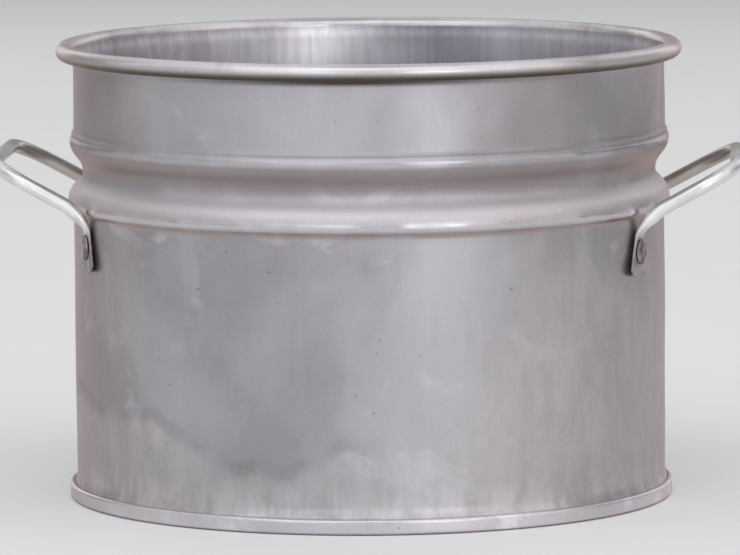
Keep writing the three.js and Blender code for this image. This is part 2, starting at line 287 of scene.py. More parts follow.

# ---- Marks in bands: the middle and reach of each. Those across and the painted reflections are along X ----
LIT_SLOPE_BAND = (SHOULDER_LEVEL + 5 * MM, 6.6 * MM)
NECK_HOLLOW = (NECK_LEVEL - 1.5 * MM, 5 * MM)
LEDGE_HOLLOW = (LEDGE_LEVEL, 2.6 * MM)
RIM_SHADOW_LINE = (RIM_LEVEL - CURL_RADIUS - SHEET - 0.6 * MM, 2 * MM)
RIM_SHADOW_ACROSS = (0, 95 * MM)
ROLL_LINE = (ROLL_FOOT_LEVEL + 1 * MM, 1.7 * MM)
WORN_SHOULDER = (SHOULDER_LEVEL - 0.2 * MM, 2.8 * MM)
WORN_BEAD = (BEAD_LEVEL, 2.2 * MM)
PAINTED_REFLECTION_BAND = (-25 * MM, 24 * MM)
DARK_REFLECTION_BAND = (22 * MM, 26 * MM)
SHADED_BOTTOM_EDGE = (0.2 * MM, 0.9 * MM)

# ---- Sockets of a node that mixes two colours ----
MIX_START = 6
MIX_END = 7
MIX_RESULT = 2

# ---- Softboxes: azimuth in degrees and power in watts. One share scales every power ----
LIGHT_DISTANCE = 2.6
LIGHT_SHARE = 0.79
BACKDROP_LEVEL = 0.33
LOW_BOX = {"elevation": 14, "width": 0.8, "height": 1.3}
HIGH_BOX = {"elevation": 48, "width": 1.8, "height": 2.4}
SLIT_BOX = {"elevation": 7, "width": 0.9, "height": 0.2}
LOW_LIGHTS = [(-150, 4.5), (-95, 2.6), (-32, 3.8), (32, 4.8), (54, 2.2), (76, 4.2), (150, 4.5)]
HIGH_LIGHTS = [(-140, 7), (-80, 8), (-30, 17), (20, 14.5), (70, 11), (130, 7), (180, 5)]
SLIT_LIGHTS = [(-58, 1.5), (-12, 4.2), (27, 6.2)]
WARM_LIGHT = (1, 0.82, 0.73)
COOL_LIGHT = (0.97, 0.98, 1)

# ---- How far beside the tub a low softbox stands, as a share, for its light to be warm ----
BESIDE = 0.8

# ---- The floor that the tub stands on, from its middle to its edge, in metres ----
GROUND_HALF = 30.0

# ---- The view of the photograph ----
CAMERA_DISTANCE = 2.3625
CAMERA_HEIGHT = 0.3452
CAMERA_TURN = math.radians(3.31)
CAMERA_PITCH = math.radians(6.48)
CAMERA_ROLL = math.radians(0.4)
CAMERA_LENS = 324
CAMERA_SENSOR = 36
CAMERA_REACH = 100


# ---- Meshes ----

def make_piece(name, mesh, *materials):
    """A mesh as a piece of the object, with its materials, smooth apart from its sharp edges."""
    for material in materials:
        mesh.materials.append(material)
    for polygon in mesh.polygons:
        polygon.use_smooth = True
    mesh.set_sharp_from_angle(angle=SHARP_ANGLE)
    piece = bpy.data.objects.new(name, mesh)
    bpy.context.collection.objects.link(piece)
    return piece


def stand_for(piece, node):
    """The piece takes the place of a CAD node and rides on the tub's only body."""
    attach(piece, "root")
    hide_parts(node)


def mesh_from_rings(name, rings, rows_closed=False):
    """A closed mesh through rings of points: an array of rings, points round each, and x, y, z."""
    rows, columns, _ = rings.shape
    corner = np.arange(rows * columns).reshape(rows, columns)
    below = corner if rows_closed else corner[:-1]
    above = np.roll(corner, -1, axis=0) if rows_closed else corner[1:]
    quads = np.stack(
        [below, np.roll(below, -1, axis=1), np.roll(above, -1, axis=1), above], axis=-1,
    ).reshape(-1, 4)
    faces = quads.tolist()
    if not rows_closed:
        faces.append(corner[0].tolist())
        faces.append(corner[-1].tolist())
    mesh = bpy.data.meshes.new(name)
    mesh.from_pydata(rings.reshape(-1, 3).tolist(), [], faces)
    tidy_mesh(mesh)
    return mesh


def tidy_mesh(mesh):
    """Welds points that coincide, such as those on the axis, and turns every face outwards."""
    solid = bmesh.new()
    solid.from_mesh(mesh)
    bmesh.ops.remove_doubles(solid, verts=solid.verts, dist=WELD_DISTANCE)
    bmesh.ops.recalc_face_normals(solid, faces=solid.faces)
    solid.to_mesh(mesh)
    solid.free()


# ---- Outlines of bent sheet ----

def line(start, end, step=None):
    """Points from start towards end, without start."""
    start, end = np.array(start), np.array(end)
    pieces = max(1, math.ceil(np.linalg.norm(end - start) / step)) if step else 1
    return [start + (end - start) * i / pieces for i in range(1, pieces + 1)]


def arc(centre, radius, start, sweep, steps):
    """Points along an arc, without its first one. Angles are anticlockwise from outwards."""
    angles = start + sweep * np.arange(1, steps + 1) / steps
    return [
        np.array((centre[0] + radius * math.cos(a), centre[1] + radius * math.sin(a)))
        for a in angles
    ]


def upright_curve(start, end, steps=ROLL_STEPS, bias=0.5):
    """A smooth rise between two places where the wall stands upright, without its first point."""
    start, end = np.array(start), np.array(end)
    rise = end[1] - start[1]
    first = np.array((start[0], start[1] + rise * bias))
    second = np.array((end[0], end[1] - rise * (1 - bias)))
    return [bezier(start, first, second, end, i / steps) for i in range(1, steps + 1)]


def bezier(start, first, second, end, t):
    return (
        start * (1 - t) ** 3 + 3 * first * t * (1 - t) ** 2
        + 3 * second * t ** 2 * (1 - t) + end * t ** 3
    )


def left_normals(points):
    """The unit normal to the left of a path at each of its points, longer at a corner."""
    runs = np.diff(points, axis=0)
    runs /= np.linalg.norm(runs, axis=1)[:, None]
    left = np.stack([-runs[:, 1], runs[:, 0]], axis=1)
    before = np.vstack([left[:1], left])
    after = np.vstack([left, left[-1:]])
    middle = before + after
    middle /= np.linalg.norm(middle, axis=1)[:, None]
    return middle / (middle * before).sum(axis=1)[:, None]


def wall_face():
    """The wall's outer face, from the tip of its bottom flange to the end of the curl."""
    quarter = math.pi / 2
    corner = (FOOT_RADIUS + FLANGE_BEND, FLANGE_LEVEL + FLANGE_BEND)
    foot_turn = math.acos(1 - FOOT_FLARE / FOOT_FLARE_BEND)
    foot_top = SEAM_HEIGHT + FOOT_FLARE_BEND * math.sin(foot_turn)
    foot_centre = (WALL_RADIUS + FOOT_FLARE_BEND, foot_top)
    ledge_top = LEDGE_LEVEL + LEDGE_BEND * math.sin(LEDGE_TURN)
    ledge_edge = (WALL_RADIUS + LEDGE_BEND * (1 - math.cos(LEDGE_TURN)), LEDGE_LEVEL)
    ledge_centre = (WALL_RADIUS + LEDGE_BEND, ledge_top)
    rim_foot = (WALL_RADIUS, RIM_LEVEL - RIM_FLARE_HEIGHT)
    rim_top = (WALL_RADIUS + RIM_FLARE, RIM_LEVEL)

    points = [np.array((FLANGE_TIP, FLANGE_LEVEL))]
    points += line(points[-1], (corner[0], FLANGE_LEVEL))
    points += arc(corner, FLANGE_BEND, -quarter, -quarter, FLANGE_STEPS)
    points += line(points[-1], (FOOT_RADIUS, SEAM_HEIGHT))
    points += arc(foot_centre, FOOT_FLARE_BEND, math.pi + foot_turn, -foot_turn, BEND_STEPS)
    points += line(points[-1], SHOULDER_FOOT, LEVEL_STEP)
    points += upright_curve(SHOULDER_FOOT, SHOULDER)
    points += upright_curve(SHOULDER, NECK, NECK_STEPS, SHOULDER_BIAS)
    points += upright_curve(NECK, BEAD, NECK_STEPS)
    points += upright_curve(BEAD, BEAD_CREASE, BEND_STEPS)
    points += upright_curve(BEAD_CREASE, ledge_edge, LEDGE_STEPS)
    points += arc(ledge_centre, LEDGE_BEND, math.pi + LEDGE_TURN, -LEDGE_TURN, BEND_STEPS)
    points += line(points[-1], rim_foot, LEVEL_STEP)
    points += upright_curve(rim_foot, rim_top, BEND_STEPS)
    points += arc(RIM_CENTRE, CURL_RADIUS, math.pi, -CURL_SWEEP, CURL_STEPS)
    return np.array(points)


def base_face():
    """The base's face that shows from below and outside, from the axis to the seam's lip."""
    quarter = math.pi / 2
    upstand = FOOT_RADIUS - SHEET - SEAM_CLEARANCE - SHEET
    seam = WALL_RADIUS + SEAM_PROUD
    under = FLOOR_LEVEL - SHEET
    bend = SEAM_BEND

    points = [np.array((0.0, under))]
    points += line(points[-1], (upstand - bend, under), FLOOR_STEP)
    points += arc((upstand - bend, under - bend), bend, quarter, -quarter, BEND_STEPS)
    points += line(points[-1], (upstand, bend))
    points += arc((upstand + bend, bend), bend, -2 * quarter, quarter, BEND_STEPS)
    points += line(points[-1], (seam - bend, 0))
    points += arc((seam - bend, bend), bend, -quarter, quarter, BEND_STEPS)
    points += line(points[-1], (seam, SEAM_HEIGHT - bend), BAND_STEP)
    points += arc((seam - bend, SEAM_HEIGHT - bend), bend, 0, quarter, BEND_STEPS)
    points += line(points[-1], (FOOT_RADIUS + SEAM_LIP_CLEARANCE, SEAM_HEIGHT))
    return np.array(points)


# ---- Hand work ----

def smooth(share):
    """An even share from 0 to 1, made to start and end gently."""
    return share * share * (3 - 2 * share)


def waves(azimuths, levels, rng, count, orders, climbs):
    """A smooth random pattern round the tub and up it, about one unit high."""
    total = np.zeros(np.broadcast(azimuths, levels).shape)
    for _ in range(count):
        order = rng.integers(*orders)
        climb = rng.uniform(*climbs) * 2 * math.pi / HEIGHT
        phase = rng.uniform(0, 2 * math.pi)
        total = total + np.cos(order * azimuths + climb * levels + phase)
    return total / math.sqrt(count)


def near(levels, middle, reach):
    """1 at a level, fading to 0 over the reach above and below it."""
    return np.clip(1 - np.abs(levels - middle) / reach, 0, 1) ** 2


def stray(azimuths, levels):
    """How far the real tub's sheet stands off its true shape, outwards, in metres."""
    rng = np.random.default_rng(RANDOM_SEED)
    give = np.clip(levels / FIRM_FOOT, 0, 1) * np.clip((HEIGHT - levels) / FIRM_RIM, RIM_GIVE, 1)
    oval = OUT_OF_ROUND * np.cos(2 * azimuths - OVAL_TURN)
    sheet_wave = SHEET_WAVE * waves(azimuths, levels, rng, **SHEET_WAVES)
    rolled = waves(azimuths, levels, rng, **ROLLING_WAVES)
    rolled_levels = (
        near(levels, BEAD_LEVEL, BEAD_REACH) + near(levels, SHOULDER_LEVEL, SHOULDER_REACH)
        + near(levels, RIM_LEVEL, RIM_REACH) / 2
    )
    return give * (oval + sheet_wave) + ROLLING_WAVE * rolled * rolled_levels


def lap(azimuths):
    """How proud the lapped side seam is: a sharp edge, the lap itself, then a slow fade."""
    along = (azimuths - LAP_AZIMUTH + math.pi) % (2 * math.pi) - math.pi
    along = along * WALL_RADIUS
    rise = np.clip(along / LAP_EDGE, 0, 1)
    fade = np.clip((along - LAP_WIDTH) / LAP_FADE, 0, 1)
    return SHEET * rise * (1 - smooth(fade))


def round_azimuths():
    """Directions of the lathe's steps, with a close pair at the edge of the side seam."""
    even = LAP_AZIMUTH + 2 * math.pi * np.arange(ROUND_STEPS) / ROUND_STEPS
    return np.insert(even, 1, LAP_AZIMUTH + LAP_EDGE / WALL_RADIUS)


def revolve(name, outline, azimuths, extra=None, closed=True):
    """Turns an outline round Z, with the hand work's stray and an extra offset per point."""
    radii = outline[:, 0][:, None]
    levels = outline[:, 1][:, None]
    if extra is not None:
        radii = radii + extra[..., 0]
        levels = levels + extra[..., 1]
    levels = np.broadcast_to(levels, (len(outline), len(azimuths)))
    spread = np.clip(radii / WALL_RADIUS, 0, 1) ** AXIS_FADE
    radii = radii + stray(azimuths[None, :], levels) * spread
    rings = np.stack([radii * np.cos(azimuths), radii * np.sin(azimuths), levels], axis=-1)
    return mesh_from_rings(name, rings, closed)


# ---- The tub ----

def strip_slots(count):
    """The material of each strip round the wall's outline: 0 outside, 1 inside, 2 for the curl."""
    plain = count - 1 - CURL_STEPS
    outer = [0] * plain + [2] * CURL_STEPS
    inner = [2] * CURL_STEPS + [1] * plain
    return outer + [2] + inner + [0]


def make_wall(outside, inside, rim):
    face = wall_face()
    normals = left_normals(face)
    azimuths = round_azimuths()
    outline = np.vstack([face, (face + normals * SHEET)[::-1]])
    lapped = -normals[:, None, :] * lap(azimuths)[None, :, None]
    plain = np.zeros_like(lapped)
    mesh = revolve("tub_wall_fine", outline, azimuths, np.vstack([lapped, plain]))
    piece = make_piece("tub_wall_fine", mesh, outside, inside, rim)
    slots = strip_slots(len(face))
    for polygon in mesh.polygons:
        polygon.material_index = slots[polygon.index // len(azimuths)]
    stand_for(piece, "tub_wall")


def make_base(material):
    face = base_face()
    outline = np.vstack([face, (face + left_normals(face) * SHEET)[::-1]])
    outline[-1, 0] = 0
    mesh = revolve("tub_base_fine", outline, round_azimuths(), closed=False)
    piece = make_piece("tub_base_fine", mesh, material)
    stand_for(piece, "tub_base")


def make_rim_wire(material):
    outline = np.array(arc(RIM_CENTRE, RIM_WIRE_RADIUS, 0, 2 * math.pi, RIM_WIRE_STEPS))
    mesh = revolve("rim_wire_fine", outline, round_azimuths())
    piece = make_piece("rim_wire_fine", mesh, material)
    stand_for(piece, "rim_wire")


# ---- Handles ----

def foot_distance():
    """How far the middle of a foot's inner face is from the axis, with its inner edge touching."""
    half = FOOT_WIDTH / 2
    touch = WALL_RADIUS + FOOT_CLEARANCE
    across = half * math.cos(FOOT_TILT)
    return half * math.sin(FOOT_TILT) + math.sqrt(touch ** 2 - across ** 2)


FOOT_MIDDLE = foot_distance() * Vector((math.cos(FOOT_AZIMUTH), math.sin(FOOT_AZIMUTH), 0))
FOOT_NORMAL = Vector((math.cos(FOOT_AZIMUTH - FOOT_TILT), math.sin(FOOT_AZIMUTH - FOOT_TILT), 0))


def bend_points(before, corner, after, radius, steps):
    """Places and directions round one bend of the wire, both ends included."""
    incoming = (corner - before).normalized()
    outgoing = (after - corner).normalized()
    turn = incoming.angle(outgoing)
    setback = radius * math.tan(turn / 2)
    inwards = (outgoing - incoming * math.cos(turn)).normalized()
    start = corner - incoming * setback
    centre = start + inwards * radius
    places = []
    for step in range(steps + 1):
        angle = turn * step / steps
        along = incoming * math.cos(angle) + inwards * math.sin(angle)
        out = incoming * math.sin(angle) - inwards * math.cos(angle)
        places.append((centre + out * radius, along))
    return places


def straight_points(start, end, steps):
    """Places and directions along a straight run of the wire, without its two ends."""
    along = (end - start).normalized()
    return [(start.lerp(end, step / steps), along) for step in range(1, steps)]


def smooth_rise(value, low, high):
    return smooth(min(max((value - low) / (high - low), 0), 1))


def blend(start, end, share):
    return start + (end - start) * share


def wire_section(above, rivet_above):
    """Width, thickness and squareness of the wire at a height above the foot's tip."""
    above_head = rivet_above + RIVET_HEAD_RADIUS + RIVET_CLEARANCE
    tip = math.sqrt(min(max(above / FOOT_ROUNDING, 0), 1))
    narrowing = min(max((above - FOOT_ROUNDING) / FOOT_TAPER, 0), 1)
    thickening = smooth_rise(above, above_head, above_head + FOOT_THICKENING)
    width = blend(FOOT_WIDTH, 2 * WIRE_RADIUS, narrowing)
    return (
        blend(FOOT_TIP_WIDTH, width, tip),
        blend(FOOT_THICKNESS, 2 * WIRE_RADIUS, thickening),
        blend(FOOT_SQUARENESS, 2, thickening),
    )


def half_handle(low, high):
    """Places and directions from the +Y foot's tip to the middle of the grip."""
    wire = FOOT_MIDDLE + FOOT_NORMAL * WIRE_RADIUS
    reach = high.x - WIRE_RADIUS
    grip_level = high.z - WIRE_RADIUS
    elbow_level = grip_level - (reach - wire.x) * math.tan(ARM_RISE)
    tip = Vector((wire.x, wire.y, low.z))
    elbow = Vector((wire.x, wire.y, elbow_level))
    corner = Vector((reach, GRIP_HALF_WIDTH, grip_level))
    middle = Vector((reach, 0, grip_level))

    elbow_bend = bend_points(tip, elbow, corner, ELBOW_BEND, ELBOW_STEPS)
    grip_bend = bend_points(elbow, corner, middle, GRIP_BEND, GRIP_CORNER_STEPS)
    rounding = [
        (tip + Vector((0, 0, FOOT_ROUNDING * share ** 2)), Vector((0, 0, 1)))
        for share in np.linspace(0, 1, TIP_STEPS + 1)
    ]
    foot = straight_points(rounding[-1][0], elbow_bend[0][0], FOOT_STEPS)
    arm = straight_points(elbow_bend[-1][0], grip_bend[0][0], ARM_STEPS)
    grip = straight_points(grip_bend[-1][0], middle, GRIP_STEPS)
    return rounding + foot + elbow_bend + arm + grip_bend + grip + [(middle, Vector((0, -1, 0)))]


def handle_rings(low, high, rivet_level):
    """Rings of points round the wire, from one foot to the other."""
    half = half_handle(low, high)
    mirror = Vector((1, -1, 1))
    other_half = [(place * mirror, along * Vector((-1, 1, -1))) for place, along in half[-2::-1]]
    angles = 2 * math.pi * np.arange(WIRE_SIDES) / WIRE_SIDES
    rings = []
    across = Vector((-FOOT_NORMAL.y, FOOT_NORMAL.x, 0))
    for place, along in half + other_half:
        across = (across - along * across.dot(along)).normalized()
        outwards = across.cross(along)
        width, thickness, squareness = wire_section(place.z - low.z, rivet_level - low.z)
        inset = WIRE_RADIUS - thickness / 2
        centre = place - outwards * inset
        power = 2 / squareness
        side = np.sign(np.cos(angles)) * np.abs(np.cos(angles)) ** power * width / 2
        lift = np.sign(np.sin(angles)) * np.abs(np.sin(angles)) ** power * thickness / 2
        rings.append(
            np.array(centre) + side[:, None] * np.array(across) + lift[:, None] * np.array(outwards)
        )
    return np.array(rings)


def bend_by_hand(mesh, seed):
    """Moves a wire's points a little, smoothly along it, and dents it finely."""
    noise.seed_set(RANDOM_SEED)
    for vertex in mesh.vertices:
        place = Vector(vertex.co)
        slow = noise.noise_vector(place * WIRE_WAVES_PER_METRE + Vector((seed, 0, 0)))
        fine = noise.noise(place * WIRE_DENTS_PER_METRE + Vector((0, seed, 0)))
        vertex.co = place + slow * WIRE_WAVE + vertex.normal * fine * HAMMER_MARK


def make_handle(name, side, material):
    """A handle is made at +X and turned round for -X."""
    low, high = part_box(name)
    rivet_name = "rivet_right_rear" if side > 0 else "rivet_left_front"
    rivet_low, rivet_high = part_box(rivet_name)
    rivet_level = (rivet_low.z + rivet_high.z) / 2
    if side < 0:
        high = Vector((-low.x, high.y, high.z))
    rings = handle_rings(low, high, rivet_level)
    rings[..., :2] *= side
    mesh = mesh_from_rings(name + "_fine", rings)
    bend_by_hand(mesh, seed=side * HANDLE_SEED)
    piece = make_piece(name + "_fine", mesh, material)
    stand_for(piece, name)


# ---- Rivets ----

def rivet_outline():
    """From the middle of the tail to the middle of the head. Heights are from the foot's face."""
    head_base = FOOT_THICKNESS + RIVET_CLEARANCE
    tail_slope = RIVET_TAIL_RADIUS * math.sin(FOOT_TILT)
    wall_inside = foot_distance() - WALL_RADIUS + SHEET
    tail_base = -wall_inside - tail_slope - RIVET_TAIL_CLEARANCE
    round_tail = np.array((RIVET_TAIL_RADIUS, tail_base - RIVET_TAIL_HEIGHT))
    round_head = np.array((RIVET_HEAD_RADIUS, head_base + RIVET_HEAD_HEIGHT))
    tail_rim = np.array((RIVET_TAIL_RADIUS, tail_base))
    head_rim = np.array((RIVET_HEAD_RADIUS, head_base))
    points = [np.array((0.0, round_tail[1]))]
    flat_tail = round_tail * (TAIL_FLATNESS, 1)
    for i in range(1, TAIL_STEPS + 1):
        points.append(bezier(points[0], flat_tail, round_tail, tail_rim, i / TAIL_STEPS))
    points += line(tail_rim, (RIVET_SHANK_RADIUS, tail_base))
    points += line(points[-1], (RIVET_SHANK_RADIUS, head_base))
    points += line(points[-1], head_rim)
    crown = np.array((0.0, round_head[1]))
    flat_head = round_head * (HEAD_FLATNESS, 1)
    for i in range(1, HEAD_STEPS + 1):
        points.append(bezier(head_rim, round_head, flat_head, crown, i / HEAD_STEPS))
    return np.array(points)


def make_rivet(name, side, end, material):
    low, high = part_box(name)
    level = (low.z + high.z) / 2
    middle = Vector((FOOT_MIDDLE.x * side, FOOT_MIDDLE.y * end, level))
    normal = Vector((FOOT_NORMAL.x * side, FOOT_NORMAL.y * end, 0))
    turn = normal.to_track_quat("Z", "Y").to_matrix().to_4x4()
    outline = rivet_outline()
    angles = 2 * math.pi * np.arange(RIVET_STEPS) / RIVET_STEPS
    rings = np.stack([
        outline[:, :1] * np.cos(angles), outline[:, :1] * np.sin(angles),
        np.broadcast_to(outline[:, 1:], (len(outline), RIVET_STEPS)),
    ], axis=-1)
    mesh = mesh_from_rings(name + "_fine", rings)
    mesh.transform(Matrix.Translation(middle) @ turn)
    for vertex in mesh.vertices:
        dent = noise.noise(Vector(vertex.co) * RIVET_DENTS_PER_METRE)
        vertex.co = Vector(vertex.co) + vertex.normal * dent * HAMMER_MARK
    piece = make_piece(name + "_fine", mesh, material)
    stand_for(piece, name)


# ---- Materials ----

class Recipe:
    """A material's nodes. Most methods add nodes and return the socket that they give."""

    def __init__(self, name):
        self.material = bpy.data.materials.new(name)
        self.material.use_nodes = True
        self.tree = self.material.node_tree
        self.shader = self.tree.nodes["Principled BSDF"]
        self.place = self.tree.nodes.new("ShaderNodeTexCoord").outputs["Object"]

    def put(self, socket, value):
        if isinstance(value, bpy.types.NodeSocket):
            self.tree.links.new(value, socket)
        elif socket.type == "RGBA" and len(value) == 3:
            socket.default_value = (*value, 1)
        else:
            socket.default_value = value

    def set(self, **values):
        for name, value in values.items():
            self.put(self.shader.inputs[name.replace("_", " ")], value)

    def stretched(self, along):
        """The surface's place, scaled along each axis."""
        node = self.tree.nodes.new("ShaderNodeMapping")
        self.put(node.inputs["Vector"], self.place)
        self.put(node.inputs["Scale"], along)
        return node.outputs["Vector"]

    def noise(self, scale, along=(1, 1, 1), detail=3, roughness=0.55, distortion=0):
        node = self.tree.nodes.new("ShaderNodeTexNoise")
        vector = self.place if along == (1, 1, 1) else self.stretched(along)
        self.put(node.inputs["Vector"], vector)
        self.put(node.inputs["Scale"], scale)
        self.put(node.inputs["Detail"], detail)
        self.put(node.inputs["Roughness"], roughness)
        self.put(node.inputs["Distortion"], distortion)
        return node.outputs["Fac"]

    def math(self, operation, *values):
        node = self.tree.nodes.new("ShaderNodeMath")
        node.operation = operation
        for socket, value in zip(node.inputs, values):
            self.put(socket, value)
        return node.outputs["Value"]

    def span(self, value, low, high, to_low=0, to_high=1):
        """A value's smooth rise from one range to another."""
        node = self.tree.nodes.new("ShaderNodeMapRange")
        node.interpolation_type = "SMOOTHSTEP"
        for name, number in zip(
            ("Value", "From Min", "From Max", "To Min", "To Max"),
            (value, low, high, to_low, to_high),
        ):
            self.put(node.inputs[name], number)
        return node.outputs["Result"]

    def axis(self, name):
        node = self.tree.nodes.new("ShaderNodeSeparateXYZ")
        self.put(node.inputs["Vector"], self.place)
        return node.outputs[name]

    def band(self, value, middle, reach):
        """1 at the middle, falling smoothly to 0 at the reach on both sides."""
        distance = self.math("ABSOLUTE", self.math("SUBTRACT", value, middle))
        return self.span(distance, 0, reach, 1, 0)

    def mix(self, share, start, end, way="MIX"):
        node = self.tree.nodes.new("ShaderNodeMix")
        node.data_type = "RGBA"
        node.blend_type = way
        self.put(node.inputs["Factor"], share)
        self.put(node.inputs[MIX_START], start)
        self.put(node.inputs[MIX_END], end)
        return node.outputs[MIX_RESULT]

    def stain(self, colour, mask, other, strength):
        """The colour, turned towards another one where the mask is."""
        return self.mix(self.math("MULTIPLY", mask, strength), colour, other)

    def rougher(self, rough, mask, extra):
        return self.math("ADD", rough, self.math("MULTIPLY", mask, extra))

    def bump(self, height, distance, strength):
        node = self.tree.nodes.new("ShaderNodeBump")
        self.put(node.inputs["Height"], height)
        self.put(node.inputs["Distance"], distance)
        self.put(node.inputs["Strength"], strength)
        return node.outputs["Normal"]


def times(factor, colour):
    return [factor * channel for channel in colour]


def streaked(r, pattern, streaks, darker, paler):
    """A grey round 1, whose contrast grows with the streaks."""
    return r.span(pattern, *USUAL, 1 - darker * streaks, 1 + paler * streaks)


def zinc_sheet(name, light, dark, streaks=0.05, roughness=0.4):
    """The start of every zinc look: a colour, a grey to multiply it by, a roughness and a relief."""
    r = Recipe(name)
    clouds = r.noise(**CLOUDS)
    blooms = r.noise(**BLOOMS)
    smudges = r.noise(**SMUDGES)
    rolling = r.noise(**ROLLING)
    broad_rolling = r.noise(**BROAD_ROLLING)
    specks = r.noise(**SPECKS)
    dots = r.span(r.noise(**DOTS), *DOT_SPAN)
    colour = r.mix(r.span(clouds, *CLOUD_SPAN), dark, light)
    colour = r.mix(r.span(blooms, *BLOOM_SPAN), colour, times(BLOOM_GAIN, light))
    colour = r.mix(r.span(smudges, *SMUDGE_SPAN), colour, times(SMUDGE_GAIN, light))
    colour = r.mix(r.span(blooms, *TARNISH_SPAN), colour, WARM_TARNISH)
    colour = r.mix(dots, colour, DARK_DOT)
    grey = streaked(r, rolling, streaks, darker=0.3, paler=0.2)
    broad = streaked(r, broad_rolling, streaks, darker=0.2, paler=0.1)
    grey = r.math("MULTIPLY", grey, broad)
    grey = r.math("MULTIPLY", grey, r.span(specks, *USUAL, *SPECK_SHADES))
    rough = r.span(clouds, *USUAL, roughness - CLOUD_ROUGHNESS, roughness + CLOUD_ROUGHNESS)
    rolling_relief = r.math("MULTIPLY", rolling, ROLLING_RELIEF)
    speck_relief = r.math("MULTIPLY", specks, SPECK_RELIEF)
    relief = r.math("ADD", rolling_relief, speck_relief)
    r.set(Metallic=0.88, Specular_Tint=GRAZING_TINT)
    return r, colour, grey, rough, relief


def finish_zinc(r, colour, grey, rough, relief):
    shade = r.tree.nodes.new("ShaderNodeCombineColor")
    for socket in shade.inputs:
        r.put(socket, grey)
    colour = r.mix(1, colour, shade.outputs["Color"], "MULTIPLY")
    colour = r.mix(1, colour, ZINC_CAST, "MULTIPLY")
    normal = r.bump(relief, distance=0.25 * MM, strength=0.3)
    r.set(Base_Color=colour, Roughness=rough, Normal=normal)
    return r.material


def splash_marks(r, level, colour, grey, rough):
    """A dried tide mark: a wandering line, and a paler, streaky and rougher coat below it."""
    across = r.axis("X")
    wander = r.noise(**WANDER)
    rise_right = r.span(across, *TIDE_RIGHT)
    rise_left = r.span(across, *TIDE_LEFT)
    rise = r.math("ADD", rise_right, rise_left)
    top = r.math("ADD", rise, r.span(wander, *TIDE_WANDER))
    above = r.math("SUBTRACT", level, top)
    softness = r.span(across, *TIDE_SOFTNESS)
    share = r.math("DIVIDE", above, softness)
    coat = r.span(share, 1, -1)
    drips = r.noise(**DRIPS)
    pale = r.mix(r.span(drips, *DRIP_SPAN), COAT_DARK, COAT_LIGHT)
    colour = r.stain(colour, coat, pale, strength=0.6)
    rough = r.rougher(rough, coat, extra=0.05)
    patchy = r.span(r.noise(**LINE_PATCHES), *LINE_PATCH_SPAN)
    fading = r.math("MULTIPLY", r.span(across, *LINE_FADE), patchy)
    mark = r.math("MULTIPLY", r.band(above, *LINE_BAND), fading)
    grey = r.math("MULTIPLY", grey, r.span(mark, 0, 1, 1, LINE_SHADE))
    return colour, grey, rough


def scuffs_and_painted_sheen(r, level, colour):
    """Streaky scuffs that grow stronger down to the base's seam, and also a painted highlight that
    makes the lowest part of the wall paler.
    """
    # Partly painted highlight: the pale scuffs brighten the lowest part of the wall.
    scuffs = r.span(r.noise(**SCUFFS), *SCUFF_SPAN)
    foot = r.math("MULTIPLY", r.span(level, *SCUFF_AND_SHEEN_LEVELS), scuffs)
    return r.mix(foot, colour, SCUFF_AND_PAINTED_SHEEN)


def neck_marks(r, level, colour, rough):
    """Painted shade under the bead, where the groove faces down, a paler slope above the shoulder
    that is painted light, where it faces up, and two dull hollows.
    """
    # Painted shade: a dark brownish band from under the bead down to the neck, where the groove
    # faces down.
    below_bead = r.span(level, *NECK_SHADE_TOP)
    shade_under_bead = r.math("MULTIPLY", below_bead, r.span(level, *NECK_SHADE_FOOT))
    colour = r.stain(colour, shade_under_bead, NECK_PAINTED_SHADE, strength=0.7)
    # Painted light: the upward-facing slope above the shoulder is made paler, as if lit from above.
    lit_slope = r.band(level, *LIT_SLOPE_BAND)
    colour = r.mix(lit_slope, colour, PAINTED_SLOPE_LIGHT)
    rough = r.rougher(rough, lit_slope, extra=0.12)
    neck_hollow = r.band(level, *NECK_HOLLOW)
    ledge_hollow = r.band(level, *LEDGE_HOLLOW)
    hollow = r.math("MAXIMUM", neck_hollow, ledge_hollow)
    return colour, r.rougher(rough, hollow, extra=0.14)


def dark_lines(r, level, colour):
    """A painted shadow line under the rim, which fades at both sides, and a patchy stained line
    below the shoulder.
    """
    # Painted shadow: a dark line on the wall just under the rim's curl.
    rim_shadow = r.band(level, *RIM_SHADOW_LINE)
    rim_shadow = r.math("MULTIPLY", rim_shadow, r.band(r.axis("X"), *RIM_SHADOW_ACROSS))
    colour = r.mix(rim_shadow, colour, RIM_PAINTED_SHADOW)
    under_roll = r.band(level, *ROLL_LINE)
    stained = r.span(r.noise(**ROLL_STAINS), *ROLL_STAIN_SPAN)
    under_roll = r.math("MULTIPLY", under_roll, stained)
    return r.stain(colour, under_roll, ROLL_STAIN, strength=0.75)


def worn_crests(r, level, colour, rough):
    """The shoulder's crest, and less so the bead's, are worn pale and smooth."""
    worn = r.band(level, *WORN_SHOULDER)
    worn_bead = r.math("MULTIPLY", r.band(level, *WORN_BEAD), BEAD_WEAR)
    worn = r.math("ADD", worn, worn_bead)
    colour = r.stain(colour, worn, WORN_ZINC, strength=0.55)
    rough = r.math("SUBTRACT", rough, r.math("MULTIPLY", worn, WORN_SHINE))
    return colour, rough


def outside_zinc():
    r, colour, grey, rough, relief = zinc_sheet(
        "zinc_outside", light=(0.5, 0.5, 0.52), dark=(0.365, 0.363, 0.38))
    level = r.axis("Z")
    colour, grey, rough = splash_marks(r, level, colour, grey, rough)
    colour = scuffs_and_painted_sheen(r, level, colour)
    colour, rough = neck_marks(r, level, colour, rough)
    colour = dark_lines(r, level, colour)
    colour, rough = worn_crests(r, level, colour, rough)
    return finish_zinc(r, colour, grey, rough, relief)


